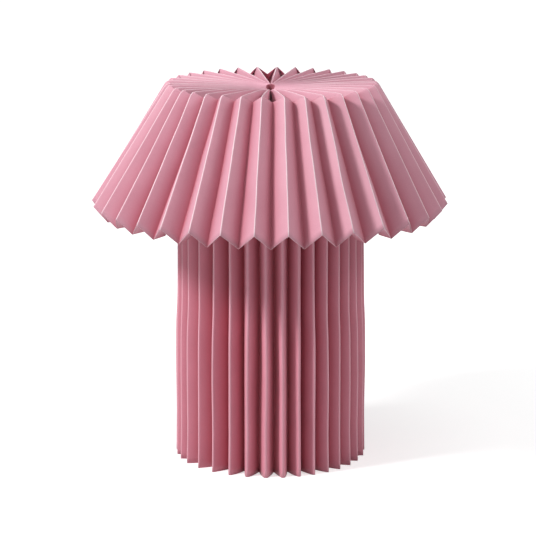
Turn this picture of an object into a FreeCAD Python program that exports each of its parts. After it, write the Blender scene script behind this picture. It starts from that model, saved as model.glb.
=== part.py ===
import FreeCAD, Part
import math
import os

# Pleated paper table lamp.
#
# A pleated paper column stands round a weighted base that carries an upright light.  A wide pleated
# paper shade sits on the column like a cap.  Millimetres, +Z up.  The origin is on the lamp's axis at
# the table top, and the rear, with the charging socket and the switch, faces +Y.

Vec = FreeCAD.Vector

# ---- paper ---------------------------------------------------------------------------------------
pleat_count = 34            # pleats round the shade, and round the column
paper = 0.3                 # thickness of the card stock
glue_line = 0.15            # gap filled by glue between paper and what stiffens it
seat_gap = 0.3              # play where one loose piece rests on another

# ---- shade skirt: the sloping strip, sizes taken on its outside face -----------------------------
lamp_height = 377.6         # table to the shoulder's ridges
skirt_drop = 118.6          # height of a ridge, shoulder to hem
shoulder_ridge_r = 104.0
shoulder_pleat_depth = 9.0  # ridge folds to valley folds, taken towards the axis
hem_ridge_r = 177.5
hem_pleat_depth = 13.2
hem_tip_drop = 14.8         # the hem's valley tips hang this far below its ridge tips

# ---- shade rosette: the strip that closes the top, gathered at the hub ---------------------------
rosette_panel = 24.0        # width of one panel, ridge fold to valley fold
hub_r = 4.0                 # radius of the hole that the gathered ends leave
hub_dip = 3.6               # the hub's ridges lie this far below the shoulder's
corner_gap = 1.2            # the rosette's ridges stop this far inside the skirt's corners
rosette_valley_inset = 3.0  # and its valleys stop this far inside them
rosette_bands = 3           # rings of facets between hub and shoulder
hub_disc_r = 20.0
hub_disc_thickness = 1.5

# ---- shade spigot: the card tube that centres the shade on the column ----------------------------
spigot_wall = 1.2
spigot_depth = 9.0          # how far it reaches below the top of the column's ring
spigot_clearance = 0.5      # between the spigot and the ring's bore

# ---- column --------------------------------------------------------------------------------------
column_foot_ridge_r = 95.5
column_pleat_depth = 17.7   # at the foot, ridge folds to valley folds
column_taper = 3.0          # the upper ridges stand this much further in than the lower ones
column_turn = 2.6           # degrees that its pleats are turned from the shade's
ring_thickness = 3.0        # the two plywood rings glued inside the column
ring_width = 17.8           # from the column's lower valley folds to the rings' bore, the same in both
top_ring_inset = 3.0        # the upper ring lies this far below the column's edge
notch_pleats = 3            # pleats cut short in the rear hem, in front of the socket and the switch
notch_return = 1.0          # degrees of each neighbouring panel left past its valley fold
notch_margin = 5.0          # the opening stops this far below the lower ring's seat

# ---- base ----------------------------------------------------------------------------------------
base_margin = 7.0           # between the base and the inside of the column's valleys
wall = 2.5
foot_height = 3.0
foot_r = 8.0
foot_sink = 0.5             # the feet sit this deep in the cover
foot_circle_r = 45.0
cover_thickness = 2.5
cover_clearance = 0.3
ballast_thickness = 6.0
ballast_margin = 1.5        # between the ballast and the screw pillars
ballast_rear_margin = 4.0   # between the ballast and the rear wall
step_height = 6.0           # raised middle that centres the column's lower ring
ring_clearance = 0.5        # between the raised middle and that ring's bore
rear_flat = 8.0             # depth of the flat on the rear wall
pillar_r = 4.0
pillar_sink = 0.3           # the pillars run this far into the round wall
screw_r = 1.5
screw_head_r = 2.8
screw_head_height = 1.6
screw_play = 0.05
thread_reach = 12.0         # length of a cover screw inside its pillar

# ---- battery -------------------------------------------------------------------------------------
cell_diameter = 18.4
cell_length = 65.0
cell_play = 0.3
cell_spacing = 0.8          # between the two cells
cell_setback = 6.8          # from the lamp's axis to the nearer cell
cradle_floor = 2.0
cradle_wall = 2.0
cell_headroom = 1.0
contact_thickness = 0.8
contact_width = 10.0
contact_rise = 8.0

# ---- control board -------------------------------------------------------------------------------
port_height = 18.0          # centre of the socket and of the switch above the table
board_width = 58.0
board_depth = 30.0
board_thickness = 1.6
board_setback = 0.6         # between the board and the rear wall
board_post_r = 3.0
board_post_x = 25.0
board_post_inset = 6.0
front_post_x = -20.0
socket_x = -8.0
socket_width = 8.94         # a standard 24-pin charging socket
socket_height = 3.26
socket_length = 7.35
socket_shell = 0.3
socket_tongue = 0.7
port_play = 0.3
plug_block_width = 8.0
plug_block_depth = 6.0
plug_block_height = 5.0

# ---- switch --------------------------------------------------------------------------------------
button_x = 13.0
button_r = 5.5
button_play = 0.08
button_proud = 2.5
button_travel = 1.2
button_flange = 1.5         # the flange is this much wider than the button
flange_thickness = 1.8
stem_r = 1.6
switch_size = 7.0           # the switch body is square, seen from the rear
switch_depth = 8.0
plunger_r = 1.1
plunger_play = 0.08
plunger_length = 6.0
plunger_proud = 2.0

# ---- light ---------------------------------------------------------------------------------------
post_size = 16.0
post_wall = 2.0
post_play = 0.2
diffuser_r = 30.0
diffuser_wall = 2.0
light_headroom = 20.35      # free height between the light's cap and the hub's disc
collar_floor = 3.0
collar_lip = 7.0
collar_rim = 3.0
socket_wall = 2.5
collar_screw_circle_r = 22.0
cap_thickness = 3.0
cap_plug = 8.0
post_end_gap = 2.0          # the post stops this far below the cap
strip_width = 12.0
strip_thickness = 1.2
strip_start = 12.0          # lower end of a strip above the collar's floor
strip_end_gap = 10.0        # upper end of a strip below the cap's plug
chip_size = 2.8
chip_height = 0.8
chips_per_strip = 10

# ---- leads inside the base -----------------------------------------------------------------------
lead_r = 1.2
lead_hole_r = 4.0
lead_detour_x = 46.0        # the battery lead goes round the cells' ends here
terminal_height = 8.0
terminal_play = 0.4

# ---- worked out from the sizes above -------------------------------------------------------------
half_pitch = math.pi / pleat_count
hem_ridge_z = lamp_height - skirt_drop
hem_valley_z = hem_ridge_z - hem_tip_drop
hem_valley_r = hem_ridge_r - hem_pleat_depth
shoulder_valley_r = shoulder_ridge_r - shoulder_pleat_depth
apex_z = lamp_height + shoulder_ridge_r * skirt_drop / (hem_ridge_r - shoulder_ridge_r)
valley_slope = (apex_z - hem_valley_z) / hem_valley_r
shoulder_valley_z = apex_z - valley_slope * shoulder_valley_r
hub_ridge_z = lamp_height - hub_dip
rosette_corner_r = shoulder_ridge_r - corner_gap
rosette_valley_end_r = shoulder_ridge_r - rosette_valley_inset

cover_top_z = foot_height + cover_thickness
ballast_top_z = cover_top_z + ballast_thickness
cell_z = ballast_top_z + cradle_floor + cell_play + cell_diameter / 2
shoulder_z = cell_z + cell_diameter / 2 + cell_play + cell_headroom + wall
step_z = shoulder_z + step_height
column_foot_valley_r = column_foot_ridge_r - column_pleat_depth
column_top_ridge_r = column_foot_ridge_r - column_taper
column_top_valley_r = column_foot_valley_r * column_top_ridge_r / column_foot_ridge_r
ring_bore_r = column_foot_valley_r - ring_width
step_r = ring_bore_r - ring_clearance
spigot_r = ring_bore_r - spigot_clearance


def at(radius, azimuth, height):
    """Point at a radius and a height; azimuth 0 faces the front and grows towards +X."""
    return Vec(radius * math.sin(azimuth), -radius * math.cos(azimuth), height)


def disc(radius, low, high, x=0.0, y=0.0):
    """Upright cylinder between two heights."""
    return Part.makeCylinder(radius, high - low, Vec(x, y, low))


def ring(outer, inner, low, high):
    """Upright tube between two heights."""
    return disc(outer, low, high).cut(disc(inner, low, high))


def block(x0, x1, y0, y1, z0, z1):
    """Box between two corners."""
    return Part.makeBox(x1 - x0, y1 - y0, z1 - z0, Vec(x0, y0, z0))


def bar(size, low, high):
    """Upright square bar on the lamp's axis."""
    half = size / 2
    return block(-half, half, -half, half, low, high)


def rod(radius, start, end):
    """Cylinder from one point to another."""
    return Part.makeCylinder(radius, (end - start).Length, start, end - start)


def save(shape, name):
    """Write one sub-part; a group of like pieces is a compound of solids."""
    shape.exportStep("parts/" + name + ".step")


def face_of(*corners):
    """Flat face through its corners."""
    return Part.Face(Part.makePolygon(list(corners) + [corners[0]]))


def two_triangles(a, b, c, d):
    """A four-sided patch whose corners aren't in one plane, as two flat triangles."""
    return [face_of(a, b, c), face_of(a, c, d)]


def close_up(faces):
    """One solid from the faces of its skin."""
    solid = Part.Solid(Part.makeShell(faces))
    if solid.Volume < 0:
        solid.reverse()
    return solid


# ---- pleated paper -------------------------------------------------------------------------------

def inside_corner(corner, other_end, next_fold, level):
    """Where the sheet's inside face turns at one end of a fold, as (radius, height).

    corner and other_end are the fold's two ends and next_fold is the end of the next fold along the
    same edge, all on the outside face.  The inside face lies one paper thickness behind both panels.
    The edge is cut square to the panels, or level.
    """
    start = at(corner[0], 0, corner[1])
    along = at(other_end[0], 0, other_end[1]) - start
    edge = at(next_fold[0], half_pitch, next_fold[1]) - start
    normal = edge.cross(along).normalize()
    if normal.y > 0:
        normal = normal * -1
    cut = Vec(0, 0, 1) if level else edge.cross(normal)
    scale = normal.y * cut.z - normal.z * cut.y
    shift_y = -paper * cut.z / scale
    shift_z = paper * cut.y / scale
    return (corner[0] - shift_y, corner[1] + shift_z)


def pleated_cone(ridge_top, ridge_foot, valley_top, valley_foot, turn, level):
    """Ring of pleats with straight ridge and valley folds, given by the folds' outside ends."""
    ends = {
        "ridge": (ridge_top, ridge_foot),
        "valley": (valley_top, valley_foot),
    }
    inner = {}
    for name, other in (("ridge", "valley"), ("valley", "ridge")):
        top, foot = ends[name]
        next_top, next_foot = ends[other]
        inner[name] = (inside_corner(top, foot, next_top, level), inside_corner(foot, top, next_foot, level))
    faces = []
    for i in range(2 * pleat_count):
        first, second = ("ridge", "valley") if i % 2 else ("valley", "ridge")
        a = math.radians(turn) + i * half_pitch
        b = a + half_pitch
        corners = []
        for side in (ends, inner):
            top_a, foot_a = side[first]
            top_b, foot_b = side[second]
            corners.append([at(top_a[0], a, top_a[1]), at(foot_a[0], a, foot_a[1]),
                            at(foot_b[0], b, foot_b[1]), at(top_b[0], b, top_b[1])])
        outside, inside = corners
        faces.append(face_of(*outside))
        faces.append(face_of(*inside))
        faces.append(face_of(outside[0], outside[3], inside[3], inside[0]))
        faces.append(face_of(outside[1], outside[2], inside[2], inside[1]))
    return close_up(faces)


def shade_skirt():
    """Sloping strip: its folds all point at one apex on the axis, so that each panel is flat."""
    return pleated_cone((shoulder_ridge_r, lamp_height), (hem_ridge_r, hem_ridge_z),
                        (shoulder_valley_r, shoulder_valley_z), (hem_valley_r, hem_valley_z), 0.0, False)


def rosette_ridge_z(radius):
    """Height of the rosette's ridge folds."""
    share = (radius - hub_r) / (rosette_corner_r - hub_r)
    return hub_ridge_z + hub_dip * share


def rosette_valley_z(radius):
    """Height of the rosette's valley folds, straight from the hub to their outer ends."""
    spread = rosette_valley_end_r * math.sin(half_pitch)
    end_z = rosette_ridge_z(rosette_valley_end_r) - math.sqrt(rosette_panel ** 2 - spread ** 2)
    hub_z = hub_ridge_z - rosette_panel
    share = (radius - hub_r) / (rosette_valley_end_r - hub_r)
    return hub_z + (end_z - hub_z) * share


def rosette_section(share):
    """The strip's cross-section round one circle of the rosette, from 0 at the hub to 1 at the rim.

    Each pleat gives its ridge's two top corners and inner corner, and its valley's inner corner and two
    bottom corners.  The panels are one paper thickness across, so near the hub they all but touch.
    """
    ridge_r = hub_r + share * (rosette_corner_r - hub_r)
    valley_r = hub_r + share * (rosette_valley_end_r - hub_r)
    ridge_z = rosette_ridge_z(ridge_r)
    valley_z = rosette_valley_z(valley_r)
    spread = (ridge_r + valley_r) / 2 * math.sin(half_pitch)
    bite = (ridge_z - valley_z) * paper / (2 * spread)
    section = []
    for k in range(pleat_count):
        a = (2 * k + 1) * half_pitch
        b = a + half_pitch
        across_a = Vec(math.cos(a), math.sin(a), 0) * (paper / 2)
        across_b = Vec(math.cos(b), math.sin(b), 0) * (paper / 2)
        section.append({
            "ridge_left": at(ridge_r, a, ridge_z) - across_a,
            "ridge_right": at(ridge_r, a, ridge_z) + across_a,
            "ridge_under": at(ridge_r, a, ridge_z - bite),
            "valley_over": at(valley_r, b, valley_z + bite),
            "valley_left": at(valley_r, b, valley_z) - across_b,
            "valley_right": at(valley_r, b, valley_z) + across_b,
        })
    return section


def shade_rosette():
    """Straight strip of deep pleats laid in a circle: open at the rim and gathered at the hub."""
    grow = (rosette_corner_r / hub_r) ** (1.0 / rosette_bands)
    radii = [hub_r * grow ** i for i in range(rosette_bands + 1)]
    sections = [rosette_section((r - hub_r) / (rosette_corner_r - hub_r)) for r in radii]
    # Pairs of neighbouring corners, as (name, pleats further on), that bound each strip of facets.
    strips = [
        (("ridge_left", 0), ("ridge_right", 0)),
        (("ridge_right", 0), ("valley_over", 0)),
        (("valley_over", 0), ("ridge_left", 1)),
        (("ridge_under", 0), ("valley_left", 0)),
        (("valley_left", 0), ("valley_right", 0)),
        (("valley_right", 0), ("ridge_under", 1)),
    ]
    faces = []
    for k in range(pleat_count):
        for inner, outer in zip(sections, sections[1:]):
            for (one, one_on), (two, two_on) in strips:
                p = (k + one_on) % pleat_count
                q = (k + two_on) % pleat_count
                faces += two_triangles(inner[p][one], outer[p][one], outer[q][two], inner[q][two])
        for edge in (sections[0], sections[-1]):
            here = edge[k]
            there = edge[(k + 1) % pleat_count]
            faces.append(face_of(here["ridge_left"], here["ridge_right"], here["ridge_under"]))
            faces.append(face_of(here["valley_left"], here["valley_right"], here["valley_over"]))
            faces += two_triangles(here["ridge_right"], here["valley_over"],
                                   here["valley_left"], here["ridge_under"])
            faces += two_triangles(here["valley_over"], there["ridge_left"],
                                   there["ridge_under"], here["valley_right"])
    return close_up(faces)


def column_inside_r(height):
    """Radius inside the column's valley folds at a height."""
    foot = (column_foot_valley_r, 0.0)
    top = (column_top_valley_r, column_top_z)
    ridge = (column_foot_ridge_r, 0.0)
    inside = inside_corner(foot, top, ridge, True)[0]
    return inside - (column_foot_valley_r - column_top_valley_r) * height / column_top_z


# The rosette's valley folds rest on the column's upper edge, and their lowest point over it is at the
# edge's own valleys.
column_top_z = rosette_valley_z(column_top_valley_r - 3 * paper) - seat_gap
top_ring_top_z = column_top_z - top_ring_inset
top_ring_low_z = top_ring_top_z - ring_thickness
foot_ring_low_z = shoulder_z + seat_gap
base_r = column_inside_r(0.0) - base_margin
port_wall_y = base_r - rear_flat
pillar_circle_r = base_r - wall - pillar_r + pillar_sink


def rear_notch():
    """Wedge that cuts whole pleats short at the rear, from valley fold to valley fold."""
    first = round(math.pi / half_pitch) - notch_pleats
    first += first % 2
    margin = math.radians(notch_return)
    a = math.radians(column_turn) + (first - 2) * half_pitch + margin
    b = math.radians(column_turn) + (first - 2 + 2 * notch_pleats) * half_pitch - margin
    reach = 2 * column_foot_ridge_r
    wedge = face_of(at(0, a, -1), at(reach, a, -1), at(reach, (a + b) / 2, -1), at(reach, b, -1))
    return wedge.extrude(Vec(0, 0, shoulder_z - notch_margin + 1))


def column_pleats():
    """Upright pleated tube, a little narrower at the top, with an opening in its rear hem."""
    tube = pleated_cone((column_top_ridge_r, column_top_z), (column_foot_ridge_r, 0.0),
                        (column_top_valley_r, column_top_z), (column_foot_valley_r, 0.0), column_turn, True)
    return tube.cut(rear_notch())


def column_top_ring():
    """Plywood ring glued in the valleys just below the column's upper edge."""
    outer = column_inside_r(top_ring_top_z) - glue_line
    return ring(outer, ring_bore_r, top_ring_low_z, top_ring_top_z)


def column_foot_ring():
    """Plywood ring glued in the valleys; it sits on the base's shoulder, round its raised middle."""
    high = foot_ring_low_z + ring_thickness
    outer = column_inside_r(high) - glue_line
    return ring(outer, ring_bore_r, foot_ring_low_z, high)


def shade_spigot():
    """Card tube glued under the rosette's valley folds; it drops into the column's upper ring."""
    inner = spigot_r - spigot_wall
    return ring(spigot_r, inner, top_ring_top_z - spigot_depth, rosette_valley_z(inner) - glue_line)


hub_disc_top_z = rosette_valley_z(hub_r) - glue_line
hub_disc_low_z = hub_disc_top_z - hub_disc_thickness


def hub_disc():
    """Card disc glued under the gathered ends, which keeps them together."""
    return disc(hub_disc_r, hub_disc_low_z, hub_disc_top_z)


# ---- base ----------------------------------------------------------------------------------------

def rear_cut(y, low, high):
    """Everything behind a flat that faces the rear."""
    reach = 2 * base_r
    return block(-reach, reach, y, reach, low, high)


def pillar_spots():
    """Centres of the four screw pillars, which stand against the base's round wall."""
    return [(pillar_circle_r * math.cos(math.radians(a)), pillar_circle_r * math.sin(math.radians(a)))
            for a in (45, 135, 225, 315)]


def collar_spots():
    """Centres of the three screws that hold the light's collar."""
    return [(collar_screw_circle_r * math.cos(math.radians(a)),
             collar_screw_circle_r * math.sin(math.radians(a))) for a in (90, 210, 330)]


board_top_z = port_height - socket_height / 2
board_low_z = board_top_z - board_thickness
board_rear_y = port_wall_y - wall - board_setback
board_front_y = board_rear_y - board_depth


def board_spots():
    """Centres of the three posts that carry the control board."""
    rear = board_rear_y - board_post_inset
    front = board_front_y + board_post_inset
    return [(-board_post_x, rear), (board_post_x, rear), (front_post_x, front)]


def roof_z(x, y):
    """Height of the outside of the base's roof over a spot."""
    return step_z if math.hypot(x, y) < step_r - wall else shoulder_z


def socket_outline(grow, y0, y1):
    """Rounded slot shape of the charging socket, pushed out along Y."""
    high = socket_height / 2 + grow
    half = socket_width / 2 + grow
    reach = half - high
    slot = block(socket_x - reach, socket_x + reach, y0, y1, port_height - high, port_height + high)
    for x in (socket_x - reach, socket_x + reach):
        slot = slot.fuse(rod(high, Vec(x, y0, port_height), Vec(x, y1, port_height)))
    return slot.removeSplitter()


def base_tray():
    """Moulded drum with a raised middle, open below, with its pillars and posts."""
    inner_y = port_wall_y - wall
    body = disc(base_r, foot_height, shoulder_z).cut(rear_cut(port_wall_y, foot_height, shoulder_z))
    body = body.fuse(disc(step_r, shoulder_z, step_z))
    hollow = disc(base_r - wall, foot_height, shoulder_z - wall)
    hollow = hollow.cut(rear_cut(inner_y, foot_height, shoulder_z))
    rise = disc(step_r - wall, shoulder_z - wall, step_z - wall)
    hollow = hollow.fuse(rise.cut(rear_cut(inner_y, shoulder_z - wall, step_z)))
    body = body.cut(hollow)
    for x, y in pillar_spots():
        body = body.fuse(disc(pillar_r, cover_top_z, shoulder_z - wall / 2, x, y))
    for x, y in collar_spots():
        body = body.fuse(disc(screw_head_r + 1, step_z - wall - step_height, step_z - wall / 2, x, y))
    for x, y in board_spots():
        body = body.fuse(disc(board_post_r, board_top_z, roof_z(x, y) - wall / 2, x, y))
    for x, y in pillar_spots():
        body = body.cut(disc(screw_r + screw_play, cover_top_z, cover_top_z + thread_reach + 1, x, y))
    for x, y in collar_spots():
        body = body.cut(disc(screw_r + screw_play, step_z - wall - step_height, step_z, x, y))
    for x, y in board_spots():
        body = body.cut(disc(screw_r + screw_play, board_top_z, board_top_z + step_height, x, y))
    body = body.cut(socket_outline(port_play, inner_y - 1, port_wall_y + 1))
    body = body.cut(rod(button_r + button_play, Vec(button_x, inner_y - 1, port_height),
                        Vec(button_x, port_wall_y + 1, port_height)))
    body = body.cut(disc(lead_hole_r, step_z - wall, step_z))
    return body.removeSplitter()


def foot_spots():
    """Centres of the four feet."""
    return [(foot_circle_r, 0.0), (0.0, foot_circle_r), (-foot_circle_r, 0.0), (0.0, -foot_circle_r)]


def base_cover():
    """Flat cover that closes the base from below, recessed for its feet and screw heads."""
    plate = disc(base_r - wall - cover_clearance, foot_height, cover_top_z)
    plate = plate.cut(rear_cut(port_wall_y - wall - cover_clearance, foot_height, cover_top_z))
    for x, y in foot_spots():
        plate = plate.cut(disc(foot_r + screw_play, foot_height, foot_height + foot_sink, x, y))
    for x, y in pillar_spots():
        plate = plate.cut(disc(screw_r + 2 * screw_play, foot_height, cover_top_z, x, y))
        plate = plate.cut(disc(screw_head_r + screw_play, foot_height, foot_height + screw_head_height, x, y))
    return plate


def rubber_feet():
    """Four rubber pads."""
    pads = []
    for x, y in foot_spots():
        pad = disc(foot_r, 0.0, foot_height + foot_sink, x, y)
        lower = [e for e in pad.Edges if abs(e.BoundBox.ZMax) < 1e-6 and len(e.Vertexes) == 1]
        pads.append(pad.makeFillet(foot_height / 6, lower))
    return Part.makeCompound(pads)


def screw(x, y, head_z, length, up):
    """Pan-head screw; head_z is the face its head bears on and up says which way its shank points."""
    way = 1 if up else -1
    axis = Vec(0, 0, way)
    head = Part.makeCylinder(screw_head_r, screw_head_height, Vec(x, y, head_z), axis * -1)
    shank = Part.makeCylinder(screw_r, length, Vec(x, y, head_z), axis)
    slot = Part.makeCylinder(screw_r / 2, screw_head_height / 2,
                             Vec(x, y, head_z - way * screw_head_height), axis)
    return head.fuse(shank).cut(slot)


def cover_screws():
    """Four screws that hold the cover."""
    head_z = foot_height + screw_head_height
    length = cover_top_z - head_z + thread_reach
    return Part.makeCompound([screw(x, y, head_z, length, True) for x, y in pillar_spots()])


def ballast_plate():
    """Steel disc that keeps the tall, light lamp from tipping."""
    plate = disc(pillar_circle_r - pillar_r - ballast_margin, cover_top_z, ballast_top_z)
    limit = port_wall_y - wall - ballast_rear_margin
    return plate.cut(rear_cut(limit, cover_top_z, ballast_top_z))


def cell_rows():
    """Y of the two cells' axes."""
    near = -(cell_setback + cell_diameter / 2)
    return [near, near - cell_diameter - cell_spacing]


cell_end_x = cell_length / 2 + cell_play + contact_thickness


def cell_cradle():
    """Moulded bed with two round-bottomed channels and end walls."""
    near, far = cell_rows()
    reach = cell_end_x + cradle_wall
    side = cell_diameter / 2 + cell_play + cradle_wall
    bed = block(-reach, reach, far - side, near + side, ballast_top_z, cell_z)
    for y in (near, far):
        bed = bed.cut(rod(cell_diameter / 2 + cell_play, Vec(-cell_end_x, y, cell_z),
                          Vec(cell_end_x, y, cell_z)))
    return bed


def battery_cells():
    """Two round rechargeable cells, each with its raised positive end."""
    cells = []
    for y, way in zip(cell_rows(), (1, -1)):
        end = cell_length / 2
        can = rod(cell_diameter / 2, Vec(-end, y, cell_z), Vec(end - 1, y, cell_z))
        tip = rod(cell_diameter / 6, Vec(end - 1, y, cell_z), Vec(end, y, cell_z))
        cell = can.fuse(tip)
        if way < 0:
            cell.rotate(Vec(0, y, cell_z), Vec(0, 0, 1), 180)
        cells.append(cell)
    return Part.makeCompound(cells)


def cell_contacts():
    """Four sprung metal tabs between the cells' ends and the cradle's end walls."""
    tabs = []
    for y in cell_rows():
        for side in (-1, 1):
            near = side * (cell_end_x - contact_thickness)
            far = side * cell_end_x
            tabs.append(block(min(near, far), max(near, far), y - contact_width / 2, y + contact_width / 2,
                              cell_z - cell_diameter / 4, cell_z + contact_rise))
    return Part.makeCompound(tabs)


# ---- control board -------------------------------------------------------------------------------

def control_board():
    """Printed board for charging and dimming."""
    half = board_width / 2
    board = block(-half, half, board_front_y, board_rear_y, board_low_z, board_top_z)
    side = button_r + button_flange + port_play
    board = board.cut(block(button_x - side, button_x + side, switch_rear_y + port_play, board_rear_y,
                            board_low_z, board_top_z))
    for x, y in board_spots():
        board = board.cut(disc(screw_r + screw_play, board_low_z, board_top_z, x, y))
    return board


def board_screws():
    """Three screws that hold the board up against its posts."""
    length = board_thickness + step_height - 1
    return Part.makeCompound([screw(x, y, board_low_z, length, True) for x, y in board_spots()])


def usb_socket():
    """Charging socket: a metal shell with its contact tongue."""
    rear = port_wall_y
    front = rear - socket_length
    shell = socket_outline(0.0, front, rear).cut(socket_outline(-socket_shell, front + 1, rear))
    half = socket_width / 2 - 4 * socket_shell
    tongue = block(socket_x - half, socket_x + half, front, rear - 1,
                   port_height - socket_tongue / 2, port_height + socket_tongue / 2)
    return shell.fuse(tongue).removeSplitter()


button_wall_y = port_wall_y - wall
flange_rear_y = button_wall_y - cover_clearance
flange_front_y = flange_rear_y - flange_thickness
plunger_rear_y = flange_front_y - 2 * button_travel
switch_rear_y = plunger_rear_y - plunger_proud


def power_button():
    """Round push button with a flange behind the wall and a stem that reaches the switch."""
    x = button_x
    z = port_height
    cap = rod(button_r, Vec(x, flange_front_y, z), Vec(x, port_wall_y + button_proud, z))
    rim = [e for e in cap.Edges if len(e.Vertexes) == 1 and e.BoundBox.YMin > port_wall_y]
    cap = cap.makeFillet(button_proud / 4, rim)
    flange = rod(button_r + button_flange, Vec(x, flange_front_y, z), Vec(x, flange_rear_y, z))
    stem = rod(stem_r, Vec(x, plunger_rear_y, z), Vec(x, flange_front_y, z))
    return cap.fuse(flange).fuse(stem).removeSplitter()


def switch_plunger():
    """Plunger of the switch, which the button's stem pushes."""
    return rod(plunger_r, Vec(button_x, plunger_rear_y - plunger_length, port_height),
               Vec(button_x, plunger_rear_y, port_height))


def switch_body():
    """Latching switch soldered on the board, with a bore for its plunger."""
    half = switch_size / 2
    front = switch_rear_y - switch_depth
    body = block(button_x - half, button_x + half, front, switch_rear_y, board_top_z,
                 port_height + half)
    deep = plunger_rear_y - plunger_length - 2 * button_travel
    return body.cut(rod(plunger_r + plunger_play, Vec(button_x, deep, port_height),
                        Vec(button_x, switch_rear_y, port_height)))


def plug_spots():
    """Corner of each lead's plug block on the board: the battery's, then the light's."""
    return [(board_width / 2 - plug_block_width, board_front_y), (-plug_block_width / 2, board_front_y)]


def lead_plugs():
    """Two plug blocks where the inner leads join the board."""
    return Part.makeCompound([
        block(x, x + plug_block_width, y, y + plug_block_depth, board_top_z, board_top_z + plug_block_height)
        for x, y in plug_spots()])


# ---- leads ---------------------------------------------------------------------------------------

def lead(points):
    """Round lead along straight runs joined by tangent arcs."""
    edges = []
    start = points[0]
    for before, corner, after in zip(points, points[1:], points[2:]):
        back = (before - corner)
        on = (after - corner)
        turn = math.pi - back.getAngle(on)
        back_len = back.Length
        on_len = on.Length
        trim = 0.45 * min(back_len, on_len)
        radius = trim / math.tan(turn / 2)
        enter = corner + back.normalize() * trim
        leave = corner + on.normalize() * trim
        inward = (back + on).normalize()
        middle = corner + inward * (math.sqrt(radius ** 2 + trim ** 2) - radius)
        edges.append(Part.LineSegment(start, enter).toShape())
        edges.append(Part.Arc(enter, middle, leave).toShape())
        start = leave
    edges.append(Part.LineSegment(start, points[-1]).toShape())
    path = Part.Wire(edges)
    circle = Part.Wire(Part.makeCircle(lead_r, points[0], points[1] - points[0]))
    return path.makePipeShell([circle], True, True)


def battery_lead():
    """Lead from the near cell's contact, round the cells' ends, to the board."""
    near, _ = cell_rows()
    x, y = plug_spots()[0]
    plug_y = y + plug_block_depth / 2
    plug_z = board_top_z + plug_block_height / 2
    return lead([
        Vec(cell_end_x, near, cell_z + contact_rise - 2 * lead_r),
        Vec(lead_detour_x, near, cell_z + contact_rise - 2 * lead_r),
        Vec(lead_detour_x, plug_y, plug_z),
        Vec(x + plug_block_width, plug_y, plug_z),
    ])


def post_lead():
    """Lead from the board up through the base's roof into the light's post."""
    y = plug_spots()[1][1]
    plug_z = board_top_z + plug_block_height / 2
    return lead([
        Vec(0, y, plug_z),
        Vec(0, 0, plug_z),
        Vec(0, 0, step_z + collar_floor + strip_start),
    ])


# ---- light ---------------------------------------------------------------------------------------

collar_floor_z = step_z + collar_floor
diffuser_top_z = hub_disc_low_z - light_headroom - cap_thickness
post_top_z = diffuser_top_z - post_end_gap
strip_low_z = collar_floor_z + strip_start
strip_high_z = diffuser_top_z - cap_plug - strip_end_gap


def light_collar():
    """Moulded foot of the light: a square socket for the post and a rim for the diffuser."""
    inner = diffuser_r + post_play
    collar = disc(inner + collar_rim, step_z, collar_floor_z + collar_lip)
    collar = collar.cut(disc(inner, collar_floor_z, collar_floor_z + collar_lip))
    sleeve = post_size + 2 * post_play + 2 * socket_wall
    collar = collar.fuse(bar(sleeve, step_z, collar_floor_z + collar_lip))
    collar = collar.cut(bar(post_size + 2 * post_play, step_z, collar_floor_z + collar_lip))
    for x, y in collar_spots():
        collar = collar.cut(disc(screw_r + screw_play, step_z, collar_floor_z, x, y))
    return collar.removeSplitter()


def collar_screws():
    """Three screws that hold the collar down on the base."""
    length = collar_floor + wall + step_height - 1
    return Part.makeCompound([screw(x, y, collar_floor_z, length, False) for x, y in collar_spots()])


def light_post():
    """Square aluminium tube that carries the light strips and draws off their heat."""
    return bar(post_size, step_z, post_top_z).cut(bar(post_size - 2 * post_wall, step_z, post_top_z))


def round_the_post(shape):
    """Four copies of a piece, one on each side of the post."""
    copies = []
    for quarter in range(4):
        copy = shape.copy()
        copy.rotate(Vec(0, 0, 0), Vec(0, 0, 1), 90 * quarter)
        copies.append(copy)
    return copies


def led_strips():
    """Four light strips, one glued to each side of the post."""
    near = post_size / 2
    strip = block(near, near + strip_thickness, -strip_width / 2, strip_width / 2,
                  strip_low_z, strip_high_z)
    return Part.makeCompound(round_the_post(strip))


def led_chips():
    """Light chips in a row along each strip."""
    near = post_size / 2 + strip_thickness
    pitch = (strip_high_z - strip_low_z) / chips_per_strip
    chips = []
    for i in range(chips_per_strip):
        middle = strip_low_z + (i + 0.5) * pitch
        chips.append(block(near, near + chip_height, -chip_size / 2, chip_size / 2,
                           middle - chip_size / 2, middle + chip_size / 2))
    return Part.makeCompound([copy for chip in chips for copy in round_the_post(chip)])


def post_terminal():
    """Terminal block inside the post, where the lead meets the strips' wires."""
    size = post_size - 2 * post_wall - 2 * terminal_play
    low = collar_floor_z + strip_start
    return bar(size, low, low + terminal_height)


def diffuser_tube():
    """Opal tube round the post."""
    return ring(diffuser_r, diffuser_r - diffuser_wall, collar_floor_z, diffuser_top_z)


def diffuser_cap():
    """Opal cap with a plug that fits the tube and a square socket that steadies the post."""
    inner = diffuser_r - diffuser_wall - post_play
    low = diffuser_top_z - cap_plug
    cap = disc(diffuser_r, diffuser_top_z, diffuser_top_z + cap_thickness)
    cap = cap.fuse(ring(inner, inner - diffuser_wall, low, diffuser_top_z))
    sleeve = post_size + 2 * post_play
    grip = bar(sleeve + 2 * socket_wall, low, diffuser_top_z).cut(bar(sleeve, low, diffuser_top_z))
    return cap.fuse(grip).removeSplitter()


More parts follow.
